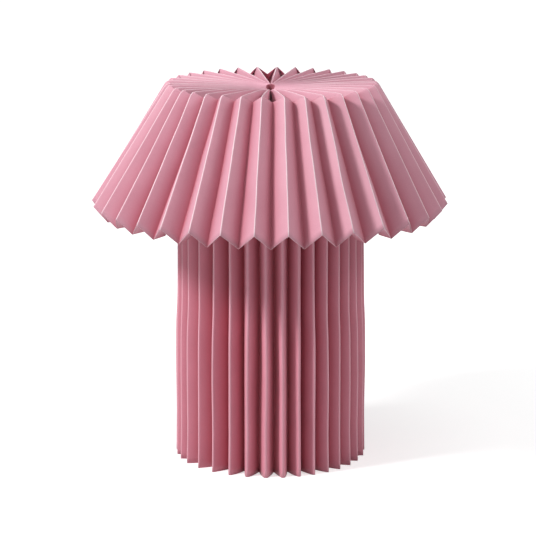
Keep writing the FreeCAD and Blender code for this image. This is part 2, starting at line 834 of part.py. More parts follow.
pieces = {
    "shade_rosette": shade_rosette,
    "shade_skirt": shade_skirt,
    "shade_spigot": shade_spigot,
    "hub_disc": hub_disc,
    "column_pleats": column_pleats,
    "column_top_ring": column_top_ring,
    "column_foot_ring": column_foot_ring,
    "base_tray": base_tray,
    "base_cover": base_cover,
    "rubber_feet": rubber_feet,
    "cover_screws": cover_screws,
    "ballast_plate": ballast_plate,
    "cell_cradle": cell_cradle,
    "battery_cells": battery_cells,
    "cell_contacts": cell_contacts,
    "control_board": control_board,
    "board_screws": board_screws,
    "usb_socket": usb_socket,
    "power_button": power_button,
    "switch_plunger": switch_plunger,
    "switch_body": switch_body,
    "lead_plugs": lead_plugs,
    "battery_lead": battery_lead,
    "post_lead": post_lead,
    "light_collar": light_collar,
    "collar_screws": collar_screws,
    "light_post": light_post,
    "led_strips": led_strips,
    "led_chips": led_chips,
    "post_terminal": post_terminal,
    "diffuser_tube": diffuser_tube,
    "diffuser_cap": diffuser_cap,
}

os.makedirs("parts", exist_ok=True)
for name, make in pieces.items():
    save(make(), name)
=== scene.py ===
import math

import bpy
import numpy as np
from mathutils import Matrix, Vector


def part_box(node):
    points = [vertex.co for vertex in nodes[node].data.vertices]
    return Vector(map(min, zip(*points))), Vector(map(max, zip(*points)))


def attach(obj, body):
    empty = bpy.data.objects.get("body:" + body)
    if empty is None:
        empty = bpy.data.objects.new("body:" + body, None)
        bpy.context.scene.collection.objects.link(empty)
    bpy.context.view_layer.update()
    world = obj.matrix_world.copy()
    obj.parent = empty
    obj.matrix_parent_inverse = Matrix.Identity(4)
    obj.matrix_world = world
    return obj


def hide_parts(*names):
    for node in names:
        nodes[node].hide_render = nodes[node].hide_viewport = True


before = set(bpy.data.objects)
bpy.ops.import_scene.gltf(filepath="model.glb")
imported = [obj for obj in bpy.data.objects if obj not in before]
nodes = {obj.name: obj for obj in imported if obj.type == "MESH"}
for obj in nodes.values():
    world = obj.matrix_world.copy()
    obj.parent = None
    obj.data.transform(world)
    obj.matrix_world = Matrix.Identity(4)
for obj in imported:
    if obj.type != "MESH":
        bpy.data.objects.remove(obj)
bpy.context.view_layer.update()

# ---- camera ------------------------------------------------------------------------------------
# The lamp seen from the front and a little above, through a long lens, so that its uprights
# stay nearly parallel.  Metres throughout.

camera = bpy.data.objects.new("camera", bpy.data.cameras.new("camera"))
bpy.context.scene.collection.objects.link(camera)
bpy.context.scene.camera = camera
camera.data.lens = 154.0
camera.data.sensor_width = 36.0
camera.data.clip_end = 60.0
camera.location = (0.0, -2.2366, 0.7053)
aim = Vector((-0.0025, 0.0, 0.1891))
camera.rotation_euler = (aim - camera.location).to_track_quat("-Z", "Y").to_euler()


# ---- rubber feet -------------------------------------------------------------------------------
# Four soft black pads pressed into the cover's recesses, moulded with a fine matt skin that
# has picked up a little dust.

def add(tree, kind, inputs=None, **settings):
    """One shader node. An input is given as a value, or as the socket that feeds it."""
    node = tree.nodes.new(kind)
    for key, value in settings.items():
        setattr(node, key, value)
    for key, value in (inputs or {}).items():
        if isinstance(value, bpy.types.NodeSocket):
            tree.links.new(value, node.inputs[key])
        else:
            node.inputs[key].default_value = value
    return node


def new_finish(name, **uniform):
    """A material with its shader's uniform values set; gives material, tree, shader and place."""
    material = bpy.data.materials.new(name)
    material.use_nodes = True
    tree = material.node_tree
    shader = tree.nodes["Principled BSDF"]
    for key, value in uniform.items():
        shader.inputs[key.replace("_", " ")].default_value = value
    place = tree.nodes.new("ShaderNodeTexCoord").outputs["Object"]
    return material, tree, shader, place


def new_group(name, inputs, outputs):
    """An empty shader node group; inputs are (name, value), outputs are names of values."""
    group = bpy.data.node_groups.new(name, "ShaderNodeTree")
    group.interface.new_socket("Place", in_out="INPUT", socket_type="NodeSocketVector")
    for key, value in inputs:
        socket = group.interface.new_socket(key, in_out="INPUT", socket_type="NodeSocketFloat")
        socket.default_value = value
    for key in outputs:
        group.interface.new_socket(key, in_out="OUTPUT", socket_type="NodeSocketFloat")
    return group, group.nodes.new("NodeGroupInput").outputs, group.nodes.new("NodeGroupOutput")


def blend_colour(tree, share, low, high):
    """Colour between low and high by a share from 0 to 1."""
    mix = add(tree, "ShaderNodeMix", {"Factor": share}, data_type="RGBA")
    for key, value in ((6, low), (7, high)):
        if isinstance(value, bpy.types.NodeSocket):
            tree.links.new(value, mix.inputs[key])
        else:
            mix.inputs[key].default_value = (*value, 1.0)
    return mix.outputs[2]


def spread(tree, value, low, high, to_low=0.0, to_high=1.0):
    """A value stretched from one range to another, and held inside it."""
    return add(tree, "ShaderNodeMapRange", {
        "Value": value, "From Min": low, "From Max": high, "To Min": to_low, "To Max": to_high,
    }).outputs["Result"]


def wear_finish(node_names, material):
    """Puts a material into the material slots of CAD nodes."""
    for name in node_names:
        mesh = nodes[name].data
        mesh.materials.clear()
        mesh.materials.append(material)


moulded_skin, skin_in, skin_out = new_group(
    "moulded skin", [("Grain Size", 0.0006)], ["Cloud", "Smudge", "Height"])
per_grain = add(moulded_skin, "ShaderNodeMath", {0: 1.0, 1: skin_in["Grain Size"]},
                operation="DIVIDE")
skin_grain = add(moulded_skin, "ShaderNodeTexNoise", {
    "Vector": skin_in["Place"], "Scale": per_grain.outputs[0], "Detail": 3.0, "Roughness": 0.6})
skin_cloud = add(moulded_skin, "ShaderNodeTexNoise", {
    "Vector": skin_in["Place"], "Scale": 38.0, "Detail": 4.0, "Roughness": 0.55})
skin_smudge = add(moulded_skin, "ShaderNodeTexNoise", {
    "Vector": skin_in["Place"], "Scale": 95.0, "Detail": 6.0, "Roughness": 0.7, "Distortion": 0.6})
for key, value in (
    ("Cloud", spread(moulded_skin, skin_cloud.outputs[0], 0.3, 0.7)),
    ("Smudge", spread(moulded_skin, skin_smudge.outputs[0], 0.52, 0.72)),
    ("Height", skin_grain.outputs[0]),
):
    moulded_skin.links.new(value, skin_out.inputs[key])


def moulded(name, dark, light, rough_low, rough_high, grain=0.0006, lift=0.00003, **uniform):
    """Moulded plastic or rubber: clouded colour, smudged gloss and a fine grain in relief."""
    material, tree, shader, place = new_finish(name, **uniform)
    skin = add(tree, "ShaderNodeGroup", node_tree=moulded_skin)
    tree.links.new(place, skin.inputs["Place"])
    skin.inputs["Grain Size"].default_value = grain
    tree.links.new(blend_colour(tree, skin.outputs["Cloud"], dark, light),
                   shader.inputs["Base Color"])
    tree.links.new(spread(tree, skin.outputs["Smudge"], 0.0, 1.0, rough_low, rough_high),
                   shader.inputs["Roughness"])
    bump = add(tree, "ShaderNodeBump", {"Height": skin.outputs["Height"], "Distance": lift,
                                        "Strength": 0.6})
    tree.links.new(bump.outputs[0], shader.inputs["Normal"])
    return material


wear_finish(["rubber_feet"], moulded(
    "foot rubber", (0.018, 0.018, 0.019), (0.034, 0.033, 0.033), 0.62, 0.85, lift=0.00006,
    Specular_IOR_Level=0.35))


# ---- base cover and tray -----------------------------------------------------------------------
# Warm white injection mouldings with a fine satin texture: the round cover below, and the
# drum with its raised middle that stands inside the column's foot.

white_moulding = moulded(
    "white moulding", (0.70, 0.685, 0.655), (0.76, 0.75, 0.725), 0.38, 0.56, grain=0.0005,
    lift=0.00004)
wear_finish(["base_cover", "base_tray"], white_moulding)


# ---- screws and ballast ------------------------------------------------------------------------
# Zinc-plated steel: pressed pan-head screws, and the laser-cut disc that weighs the lamp down.
# The plating is streaked by rolling and clouded by its bath.

STREAKS_ALONG = 60.0
STREAKS_ACROSS = 1400.0

rolled_metal, rolled_in, rolled_out = new_group(
    "rolled metal",
    [("Along X", STREAKS_ALONG), ("Along Y", STREAKS_ACROSS), ("Along Z", STREAKS_ACROSS)],
    ["Streak", "Cloud", "Height"])
stretched = add(rolled_metal, "ShaderNodeCombineXYZ", {
    "X": rolled_in["Along X"], "Y": rolled_in["Along Y"], "Z": rolled_in["Along Z"]})
streak_place = add(rolled_metal, "ShaderNodeVectorMath", {
    0: rolled_in["Place"], 1: stretched.outputs[0]}, operation="MULTIPLY")
streak = add(rolled_metal, "ShaderNodeTexNoise", {
    "Vector": streak_place.outputs[0], "Scale": 1.0, "Detail": 4.0, "Roughness": 0.65})
bath_cloud = add(rolled_metal, "ShaderNodeTexVoronoi", {
    "Vector": rolled_in["Place"], "Scale": 130.0, "Randomness": 1.0}, feature="SMOOTH_F1")
for key, value in (
    ("Streak", spread(rolled_metal, streak.outputs[0], 0.35, 0.65)),
    ("Cloud", spread(rolled_metal, bath_cloud.outputs["Distance"], 0.1, 0.75)),
    ("Height", streak.outputs[0]),
):
    rolled_metal.links.new(value, rolled_out.inputs[key])


def plated(name, dark, light, rough_low, rough_high,
           streaks=(STREAKS_ALONG, STREAKS_ACROSS, STREAKS_ACROSS), **uniform):
    """Plated or drawn metal: clouded brightness, and streaks that roughen it along its rolling.

    streaks gives how many there are in a metre along x, y and z.
    """
    material, tree, shader, place = new_finish(name, Metallic=1.0, **uniform)
    metal = add(tree, "ShaderNodeGroup", node_tree=rolled_metal)
    tree.links.new(place, metal.inputs["Place"])
    for key, value in zip(("Along X", "Along Y", "Along Z"), streaks):
        metal.inputs[key].default_value = value
    tree.links.new(blend_colour(tree, metal.outputs["Cloud"], dark, light),
                   shader.inputs["Base Color"])
    tree.links.new(spread(tree, metal.outputs["Streak"], 0.0, 1.0, rough_low, rough_high),
                   shader.inputs["Roughness"])
    bump = add(tree, "ShaderNodeBump", {"Height": metal.outputs["Height"], "Distance": 0.000015,
                                        "Strength": 0.5})
    tree.links.new(bump.outputs[0], shader.inputs["Normal"])
    return material


zinc = plated("zinc plate", (0.46, 0.47, 0.48), (0.66, 0.67, 0.68), 0.26, 0.42)
wear_finish(["cover_screws", "ballast_plate", "board_screws", "collar_screws"], zinc)


# ---- battery -----------------------------------------------------------------------------------
# Two round cells in a black moulded bed, each shrink-wrapped in blue film that stops short of
# its ends, with sprung nickel tabs at both ends.

FILM_END = 0.0312

wear_finish(["cell_cradle"], moulded(
    "cradle plastic", (0.012, 0.012, 0.013), (0.022, 0.022, 0.023), 0.42, 0.60, lift=0.00005))

wrap, wrap_tree, wrap_shader, wrap_place = new_finish(
    "cell wrap", Coat_Weight=0.35, Coat_Roughness=0.12)
wrap_axis = add(wrap_tree, "ShaderNodeSeparateXYZ", {"Vector": wrap_place})
from_middle = add(wrap_tree, "ShaderNodeMath", {0: wrap_axis.outputs["X"]}, operation="ABSOLUTE")
bare_end = spread(wrap_tree, from_middle.outputs[0], FILM_END, FILM_END + 0.0002)
crinkle = add(wrap_tree, "ShaderNodeTexNoise", {
    "Vector": wrap_place, "Scale": 210.0, "Detail": 5.0})
film = blend_colour(wrap_tree, crinkle.outputs[0], (0.018, 0.105, 0.26), (0.035, 0.16, 0.36))
wrap_tree.links.new(blend_colour(wrap_tree, bare_end, film, (0.60, 0.60, 0.61)),
                    wrap_shader.inputs["Base Color"])
wrap_tree.links.new(bare_end, wrap_shader.inputs["Metallic"])
wrap_tree.links.new(spread(wrap_tree, crinkle.outputs[0], 0.3, 0.7, 0.24, 0.38),
                    wrap_shader.inputs["Roughness"])
wrap_bump = add(wrap_tree, "ShaderNodeBump", {
    "Height": crinkle.outputs[0], "Distance": 0.00006})
wrap_tree.links.new(wrap_bump.outputs[0], wrap_shader.inputs["Normal"])
wear_finish(["battery_cells"], wrap)

nickel = plated("drawn nickel", (0.52, 0.50, 0.46), (0.68, 0.66, 0.62), 0.18, 0.34,
                streaks=(STREAKS_ACROSS, STREAKS_ALONG, STREAKS_ACROSS))
wear_finish(["cell_contacts"], nickel)


# ---- control board, socket, switch and leads ---------------------------------------------------
# A green printed board hung under the base's roof, with its charging socket, a latching switch,
# the push button in the rear wall, and rubber-covered leads that end in white plug blocks.

board, board_tree, board_shader, board_place = new_finish(
    "printed board", Coat_Weight=0.3, Coat_Roughness=0.2)
tracks = add(board_tree, "ShaderNodeTexBrick", {
    "Vector": board_place, "Scale": 340.0, "Mortar Size": 0.03, "Mortar Smooth": 0.1,
    "Brick Width": 0.9, "Row Height": 0.35}, offset=0.37, squash=1.7)
board_cloud = add(board_tree, "ShaderNodeTexNoise", {
    "Vector": board_place, "Scale": 260.0, "Detail": 5.0})
mask_green = blend_colour(board_tree, board_cloud.outputs[0], (0.006, 0.065, 0.030),
                          (0.010, 0.105, 0.048))
board_green = blend_colour(board_tree, tracks.outputs["Fac"], mask_green, (0.03, 0.20, 0.09))
board_tree.links.new(board_green, board_shader.inputs["Base Color"])
board_tree.links.new(spread(board_tree, board_cloud.outputs[0], 0.3, 0.7, 0.28, 0.44),
                     board_shader.inputs["Roughness"])
board_bump = add(board_tree, "ShaderNodeBump", {
    "Height": tracks.outputs["Fac"], "Distance": 0.00004})
board_tree.links.new(board_bump.outputs[0], board_shader.inputs["Normal"])
wear_finish(["control_board"], board)

wear_finish(["usb_socket"], nickel)
wear_finish(["switch_plunger", "switch_body"], moulded(
    "switch plastic", (0.010, 0.010, 0.011), (0.020, 0.020, 0.021), 0.30, 0.46))
wear_finish(["power_button"], moulded(
    "button plastic", (0.74, 0.73, 0.71), (0.80, 0.79, 0.77), 0.16, 0.30, grain=0.0009,
    lift=0.00001, Coat_Weight=0.3, Coat_Roughness=0.08))
wear_finish(["lead_plugs", "post_terminal"], moulded(
    "plug plastic", (0.66, 0.65, 0.60), (0.74, 0.73, 0.68), 0.34, 0.50))
wear_finish(["battery_lead", "post_lead"], moulded(
    "lead jacket", (0.014, 0.014, 0.014), (0.026, 0.025, 0.025), 0.40, 0.58, grain=0.0004))


# ---- light -------------------------------------------------------------------------------------
# A collar screwed to the base holds a square anodised post.  Four light strips are glued to the
# post, and an opal tube with a push-in cap spreads their light.

wear_finish(["light_collar"], white_moulding)
wear_finish(["light_post"], plated(
    "anodised aluminium", (0.60, 0.61, 0.62), (0.70, 0.71, 0.72), 0.30, 0.44,
    streaks=(STREAKS_ACROSS, STREAKS_ACROSS, STREAKS_ALONG / 2)))
wear_finish(["led_strips"], moulded(
    "strip white", (0.72, 0.72, 0.70), (0.78, 0.78, 0.76), 0.30, 0.46))
wear_finish(["led_chips"], moulded(
    "phosphor", (0.76, 0.50, 0.07), (0.84, 0.60, 0.12), 0.30, 0.50, grain=0.0003))

opal, opal_tree, opal_shader, opal_place = new_finish(
    "opal acrylic", Subsurface_Weight=0.35, Subsurface_Scale=0.004, Coat_Weight=0.25,
    Coat_Roughness=0.15)
opal_shader.inputs["Subsurface Radius"].default_value = (1.0, 0.85, 0.7)
opal_skin = add(opal_tree, "ShaderNodeGroup", node_tree=moulded_skin)
opal_tree.links.new(opal_place, opal_skin.inputs["Place"])
opal_skin.inputs["Grain Size"].default_value = 0.0004
opal_height = add(opal_tree, "ShaderNodeSeparateXYZ", {"Vector": opal_place})
drawn = add(opal_tree, "ShaderNodeTexNoise", {
    "W": opal_height.outputs["Z"], "Scale": 45.0, "Detail": 2.0}, noise_dimensions="1D")
opal_tint = add(opal_tree, "ShaderNodeMath", {0: opal_skin.outputs["Cloud"], 1: drawn.outputs[0]},
                operation="MULTIPLY")
opal_white = blend_colour(opal_tree, opal_tint.outputs[0], (0.86, 0.84, 0.79),
                          (0.80, 0.775, 0.72))
opal_tree.links.new(opal_white, opal_shader.inputs["Base Color"])
opal_tree.links.new(spread(opal_tree, opal_skin.outputs["Smudge"], 0.0, 1.0, 0.30, 0.46),
                    opal_shader.inputs["Roughness"])
opal_bump = add(opal_tree, "ShaderNodeBump", {
    "Height": opal_skin.outputs["Height"], "Distance": 0.00002})
opal_tree.links.new(opal_bump.outputs[0], opal_shader.inputs["Normal"])
wear_finish(["diffuser_tube", "diffuser_cap"], opal)


# ---- column rings ------------------------------------------------------------------------------
# Two rings of 3 mm birch plywood cut on a router and glued inside the column: pale, long-grained
# faces, and edges that show their dark glue lines between the plies.

PLY = 0.001
GLUE_LINE = 0.00016

ply, ply_tree, ply_shader, ply_place = new_finish("birch plywood", Specular_IOR_Level=0.3)
ply_axis = add(ply_tree, "ShaderNodeSeparateXYZ", {"Vector": ply_place})
ply_stretch = add(ply_tree, "ShaderNodeVectorMath", {0: ply_place, 1: (90.0, 9.0, 90.0)},
                  operation="MULTIPLY")
ply_rings = add(ply_tree, "ShaderNodeTexNoise", {
    "Vector": ply_stretch.outputs[0], "Scale": 1.0, "Detail": 5.0, "Roughness": 0.6,
    "Distortion": 0.8})
ply_pores = add(ply_tree, "ShaderNodeVectorMath", {0: ply_place, 1: (2600.0, 160.0, 2600.0)},
                operation="MULTIPLY")
pore = add(ply_tree, "ShaderNodeTexNoise", {
    "Vector": ply_pores.outputs[0], "Scale": 1.0, "Detail": 2.0})
layer = add(ply_tree, "ShaderNodeMath", {0: ply_axis.outputs["Z"], 1: PLY}, operation="PINGPONG")
glue = spread(ply_tree, layer.outputs[0], 0.0, GLUE_LINE, 1.0, 0.0)
side_on = add(ply_tree, "ShaderNodeNewGeometry")
side_axis = add(ply_tree, "ShaderNodeSeparateXYZ", {"Vector": side_on.outputs["Normal"]})
upright = add(ply_tree, "ShaderNodeMath", {0: side_axis.outputs["Z"]}, operation="ABSOLUTE")
edge_only = spread(ply_tree, upright.outputs[0], 0.3, 0.6, 0.75, 0.0)
glue_mark = add(ply_tree, "ShaderNodeMath", {0: glue, 1: edge_only}, operation="MULTIPLY")
ply_face = blend_colour(ply_tree, spread(ply_tree, ply_rings.outputs[0], 0.3, 0.7),
                        (0.70, 0.50, 0.30), (0.80, 0.62, 0.42))
ply_face = blend_colour(ply_tree, spread(ply_tree, pore.outputs[0], 0.62, 0.80, 0.0, 0.5),
                        ply_face, (0.46, 0.29, 0.15))
ply_tree.links.new(blend_colour(ply_tree, glue_mark.outputs[0], ply_face, (0.20, 0.11, 0.055)),
                   ply_shader.inputs["Base Color"])
ply_tree.links.new(spread(ply_tree, pore.outputs[0], 0.3, 0.8, 0.52, 0.74),
                   ply_shader.inputs["Roughness"])
ply_bump = add(ply_tree, "ShaderNodeBump", {"Height": pore.outputs[0], "Distance": 0.00005})
ply_tree.links.new(ply_bump.outputs[0], ply_shader.inputs["Normal"])
wear_finish(["column_top_ring", "column_foot_ring"], ply)


# ---- column ------------------------------------------------------------------------------------
# One strip of dusty pink card in 34 pleats, closed into a tube and glued round the rings.  Its
# folds are soft and uneven, and at the rear its hem is cut away for the plug and the button.

PLEATS = 34
PITCH = 360.0 / PLEATS
PAPER = 0.0003
COLUMN_TURN = 2.6
FOOT_RIDGE_R, FOOT_VALLEY_R = 0.0953, 0.07775
TOP_RIDGE_IN, TOP_VALLEY_IN = 0.0030, 0.0024
TOP_RING_Z, FOOT_RING_Z = 0.349, 0.038
NOTCH_Z, NOTCH_FROM, NOTCH_SPAN = 0.031, 160.0, 26.9


def unit(vectors):
    """Vectors brought to length 1."""
    return vectors / np.linalg.norm(vectors, axis=-1, keepdims=True)


def dot(a, b):
    """Inner products of two arrays of vectors."""
    return np.sum(a * b, axis=-1)


def round_place(radius, azimuth, height, shift=0.0):
    """Points round the axis: (shift + r sin a, -r cos a, z), with a 0 at the front, 90 right."""
    a = np.radians(azimuth)
    parts = np.broadcast_arrays(shift + radius * np.sin(a), -radius * np.cos(a), height)
    return np.stack(parts, axis=-1)


def uneven(azimuth, knots):
    """Azimuths moved by an amount read between the knots (azimuth, shift), both in degrees."""
    at, by = zip(*knots)
    return azimuth + np.interp(azimuth, at, by)


def wander(rng, folds, share, size):
    """A smooth random drift of each fold along its length: three waves of random phase each."""
    drift = np.zeros((folds, share.size))
    for waves, height in ((0.7, 1.0), (1.6, 0.55), (3.3, 0.22)):
        phase = rng.uniform(0.0, 2.0 * np.pi, (folds, 1))
        height = height * rng.uniform(-1.0, 1.0, (folds, 1))
        drift += height * np.sin(waves * 2 * np.pi * share + phase)
    return size * drift


def pleated_surface(lines, fold_radius, bow, outward):
    """Middle surface of a closed ring of pleats, as (strip, station, xyz), with its two masks.

    lines holds each fold's line as (fold, station, xyz), valleys and ridges in turn.  Across a fold
    the paper is an arc of fold_radius whose middle touches the line.  A panel is the straight line
    that touches the arcs on both its sides, and at share s of its width it stands out by
    4 s (1 - s) bow.  outward is +1 where a fold is a ridge and -1 where it is a valley.  The crease
    mask is 1 along a ridge's crown, -1 along a valley's and 0 over the panels.  The depth mask
    rises from 0 at a ridge to 1 at a valley.
    """
    before, after = np.roll(lines, 1, axis=0), np.roll(lines, -1, axis=0)
    across = unit(after - before)
    inward = (before + after) / 2 - lines
    inward = unit(inward - dot(inward, across)[..., None] * across)
    centre = lines + fold_radius[..., None] * inward

    def turn(step, way):
        """Angle from the crown to where the panel on one side leaves the arc."""
        gap = np.roll(centre, step, axis=0) - centre
        side, deep = way * dot(gap, across), dot(gap, inward)
        both = fold_radius + np.roll(fold_radius, step, axis=0)
        return np.arctan2(deep, side) + np.arcsin(np.clip(both / np.hypot(side, deep), 0.0, 1.0))

    to_next, to_last = turn(-1, 1.0), turn(1, -1.0)
    strips, masks, depths = [], [], []
    at_fold = np.broadcast_to(0.5 - 0.5 * outward[:, None], lines.shape[:2])
    crown = np.clip(0.0010 / fold_radius, 0.3, 1.0)
    for part, mask in ((-1.0, 0.15), (-0.4, 0.8), (0.0, 1.0), (0.4, 0.8), (1.0, 0.15)):
        angle = part * (to_next if part > 0 else to_last)
        strips.append(centre + fold_radius[..., None] * (
            np.sin(angle)[..., None] * across - np.cos(angle)[..., None] * inward))
        masks.append(mask * crown * outward[:, None])
        depths.append(at_fold)
    start, end = strips[-1], np.roll(strips[0], -1, axis=0)
    width = np.linalg.norm(end - start, axis=-1)
    near = np.clip(0.0011 / width, 0.02, 0.25)
    face = np.sin(to_next)[..., None] * across - np.cos(to_next)[..., None] * inward
    face = face * outward[:, None, None]
    for share in (near, 0.3, 0.5, 0.7, 1.0 - near):
        share = np.broadcast_to(share, width.shape)
        out = 4 * share * (1 - share) * bow
        strips.append(start + share[..., None] * (end - start) + out[..., None] * face)
        masks.append(np.zeros(width.shape))
        depths.append(at_fold + share * outward[:, None])
    surface = np.stack(strips, axis=1).reshape(-1, *lines.shape[1:])
    return surface, np.stack([np.stack(masks, axis=1).reshape(-1, lines.shape[1]),
                              np.stack(depths, axis=1).reshape(-1, lines.shape[1])])


def paper_piece(name, surface, masks, card, keep=None):
    """A mesh of the middle surface at the paper's thickness; its cut edges have their own finish.

    The grid is closed round the axis.  keep is a mask of the quads that stay.
    """
    strips, stations = surface.shape[:2]
    here = np.arange(strips * stations).reshape(strips, stations)
    there = np.roll(here, -1, axis=0)
    quads = np.stack([here[:, :-1], here[:, 1:], there[:, 1:], there[:, :-1]], axis=-1)
    quads = quads[keep] if keep is not None else quads.reshape(-1, 4)
    used, quads = np.unique(quads, return_inverse=True)
    mesh = bpy.data.meshes.new(name)
    mesh.from_pydata(surface.reshape(-1, 3)[used].tolist(), [], quads.reshape(-1, 4).tolist())
    mesh.polygons.foreach_set("use_smooth", np.ones(len(mesh.polygons), bool))
    for key, values in zip(("crease", "depth"), masks):
        mask = mesh.attributes.new(key, "FLOAT", "POINT")
        mask.data.foreach_set("value", values.reshape(-1)[used].astype(np.float32))
    mesh.materials.append(card)
    mesh.materials.append(cut_edge)
    piece = bpy.data.objects.new(name, mesh)
    bpy.context.scene.collection.objects.link(piece)
    wall = piece.modifiers.new("thickness", "SOLIDIFY")
    wall.thickness = PAPER
    wall.offset = 0.0
    wall.material_offset_rim = 1
    return piece


card_fibres, fibres_in, fibres_out = new_group(
    "card fibres", [], ["Cloud", "Fibre", "Fleck", "Height"])
card_cloud = add(card_fibres, "ShaderNodeTexNoise", {
    "Vector": fibres_in["Place"], "Scale": 26.0, "Detail": 3.0, "Roughness": 0.5})
card_fibre = add(card_fibres, "ShaderNodeTexNoise", {
    "Vector": fibres_in["Place"], "Scale": 900.0, "Detail": 4.0, "Roughness": 0.65,
    "Distortion": 0.9})
card_fleck = add(card_fibres, "ShaderNodeTexNoise", {
    "Vector": fibres_in["Place"], "Scale": 330.0, "Detail": 2.0, "Roughness": 0.5})
for key, value in (
    ("Cloud", spread(card_fibres, card_cloud.outputs[0], 0.3, 0.7)),
    ("Fibre", spread(card_fibres, card_fibre.outputs[0], 0.3, 0.7)),
    ("Fleck", spread(card_fibres, card_fleck.outputs[0], 0.60, 0.78)),
    ("Height", card_fibre.outputs[0]),
):
    card_fibres.links.new(value, fibres_out.inputs[key])


def dyed_card(name, deep, pale, painted_ridge_highlight, painted_valley_shade, rough_low, rough_high):
    """Dyed card: clouded by its pulp and speckled by its fibres, with painted shade that darkens it
    towards its valleys by the depth mask, and a painted highlight along its ridges by the crease
    mask, broken up by the fleck noise."""
    material, tree, shader, place = new_finish(name, Specular_IOR_Level=0.5, Sheen_Weight=0.12,
                                               Sheen_Roughness=0.5)
    fibres = add(tree, "ShaderNodeGroup", node_tree=card_fibres)
    tree.links.new(place, fibres.inputs["Place"])
    tone = add(tree, "ShaderNodeMath", {0: fibres.outputs["Cloud"], 1: fibres.outputs["Fibre"]},
               operation="ADD")
    colour = blend_colour(tree, spread(tree, tone.outputs[0], 0.2, 1.8), deep, pale)
    depth = add(tree, "ShaderNodeAttribute", attribute_name="depth").outputs["Fac"]
    # Painted shade: the colour darkens towards the valleys as the depth mask rises.
    colour = blend_colour(tree, spread(tree, depth, 0.1, 1.0, 0.0, 0.85), colour, painted_valley_shade)
    crease = add(tree, "ShaderNodeAttribute", attribute_name="crease").outputs["Fac"]
    # Painted highlight: paler along the ridge crowns by the crease mask, broken up by the fleck
    # noise.
    ridge_highlight = add(tree, "ShaderNodeMath", {
        0: spread(tree, crease, 0.15, 1.0),
        1: spread(tree, fibres.outputs["Fleck"], 0.0, 1.0, 0.75, 1.0)}, operation="MULTIPLY")
    colour = blend_colour(tree, ridge_highlight.outputs[0], colour, painted_ridge_highlight)
    tree.links.new(colour, shader.inputs["Base Color"])
    tree.links.new(spread(tree, fibres.outputs["Fibre"], 0.0, 1.0, rough_low, rough_high),
                   shader.inputs["Roughness"])
    bump = add(tree, "ShaderNodeBump", {"Height": fibres.outputs["Height"], "Distance": 0.00006,
                                        "Strength": 0.55})
    tree.links.new(bump.outputs[0], shader.inputs["Normal"])
    return material


shade_card = dyed_card("pink card, shade", (0.72, 0.355, 0.445), (0.79, 0.42, 0.515),
                       (0.97, 0.84, 0.87), (0.47, 0.11, 0.155), 0.50, 0.62)
# The column is the same card as the shade, given a darker, deeper pink: painted shade for the
# shadow that the shade casts over it.
column_card_shaded = dyed_card("pink card, column", (0.70, 0.255, 0.33), (0.77, 0.30, 0.385),
                        (0.92, 0.62, 0.69), (0.46, 0.075, 0.105), 0.50, 0.62)
cut_edge = dyed_card("pink card, cut edge", (0.90, 0.66, 0.72), (0.95, 0.76, 0.81),
                     (0.96, 0.80, 0.84), (0.88, 0.62, 0.68), 0.70, 0.85)

column_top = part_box("column_pleats")[1].z
column_z = np.concatenate([np.linspace(column_top - 0.0001, NOTCH_Z, 38),
                           np.linspace(NOTCH_Z, 0.0, 6)[1:]])
column_share = 1.0 - column_z / column_top

# Every fold's even azimuth in degrees, from the back round by the left, the front and the right.
folds = np.arange(2 * PLEATS)
regular = (folds * PITCH / 2 + 180.0) % 360.0 - 180.0
order = np.argsort(regular)
regular = regular[order]
is_ridge = folds[order] % 2 == 1
outward = np.where(is_ridge, 1.0, -1.0)

column_azimuth = uneven(regular + COLUMN_TURN, [
    (-180, 0), (-150, 0), (-90, -1.5), (-66, -4.0), (-56, -4.7), (-24, -1.0), (0, 0), (18, -1.1),
    (50, -4.2), (71, -5.7), (92, -3.8), (140, -0.5), (155, 0), (190, 0)])
rng = np.random.default_rng(34)
column_drift = wander(rng, 2 * PLEATS, column_share, 0.0004)
held = np.minimum(1.0, np.minimum(np.abs(column_z - FOOT_RING_Z),
                                  np.abs(column_z - TOP_RING_Z)) / 0.05)
kink = 0.0006 * np.tanh((0.147 - column_z) / 0.012)
column_radius = np.where(is_ridge[:, None],
                         FOOT_RIDGE_R - TOP_RIDGE_IN * (1 - column_share),
                         FOOT_VALLEY_R - TOP_VALLEY_IN * (1 - column_share))
column_radius = column_radius + (is_ridge[:, None] * (column_drift + kink)) * held
column_side = wander(rng, 2 * PLEATS, column_share, 0.0005) * held
column_sway = np.degrees(column_side / column_radius) * np.cos(
    np.radians(column_azimuth[:, None] / 2))
column_lines = round_place(column_radius, column_azimuth[:, None] + column_sway, column_z)
near_front = np.exp(-(column_azimuth / 25.0) ** 2)
column_fold = np.broadcast_to(
    np.where(is_ridge, 0.0010 + 0.0010 * near_front, 0.0006)[:, None], column_radius.shape)
column_bow = (0.0005 + rng.uniform(-0.0003, 0.0004, (2 * PLEATS, 1))) * np.ones_like(
    column_radius)
column_surface, column_masks = pleated_surface(column_lines, column_fold, column_bow, outward)
# The painted ridge highlight is made weaker on the column.
column_masks[0] = column_masks[0] * 0.75

strip_azimuth = np.repeat(regular + COLUMN_TURN, column_surface.shape[0] // (2 * PLEATS))
over_notch = (strip_azimuth - NOTCH_FROM) % 360.0 < NOTCH_SPAN
below_notch = column_z[:-1] <= NOTCH_Z + 0.0001
column = paper_piece("column_sheet", column_surface, column_masks, column_card_shaded,
                     ~(over_notch[:, None] & below_notch[None, :]))
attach(column, "column")
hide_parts("column_pleats")


# ---- hub disc and spigot -----------------------------------------------------------------------
# Plain grey-brown board: a disc glued under the gathered ends, and a short tube wound from
# strips, which drops into the column's upper ring.

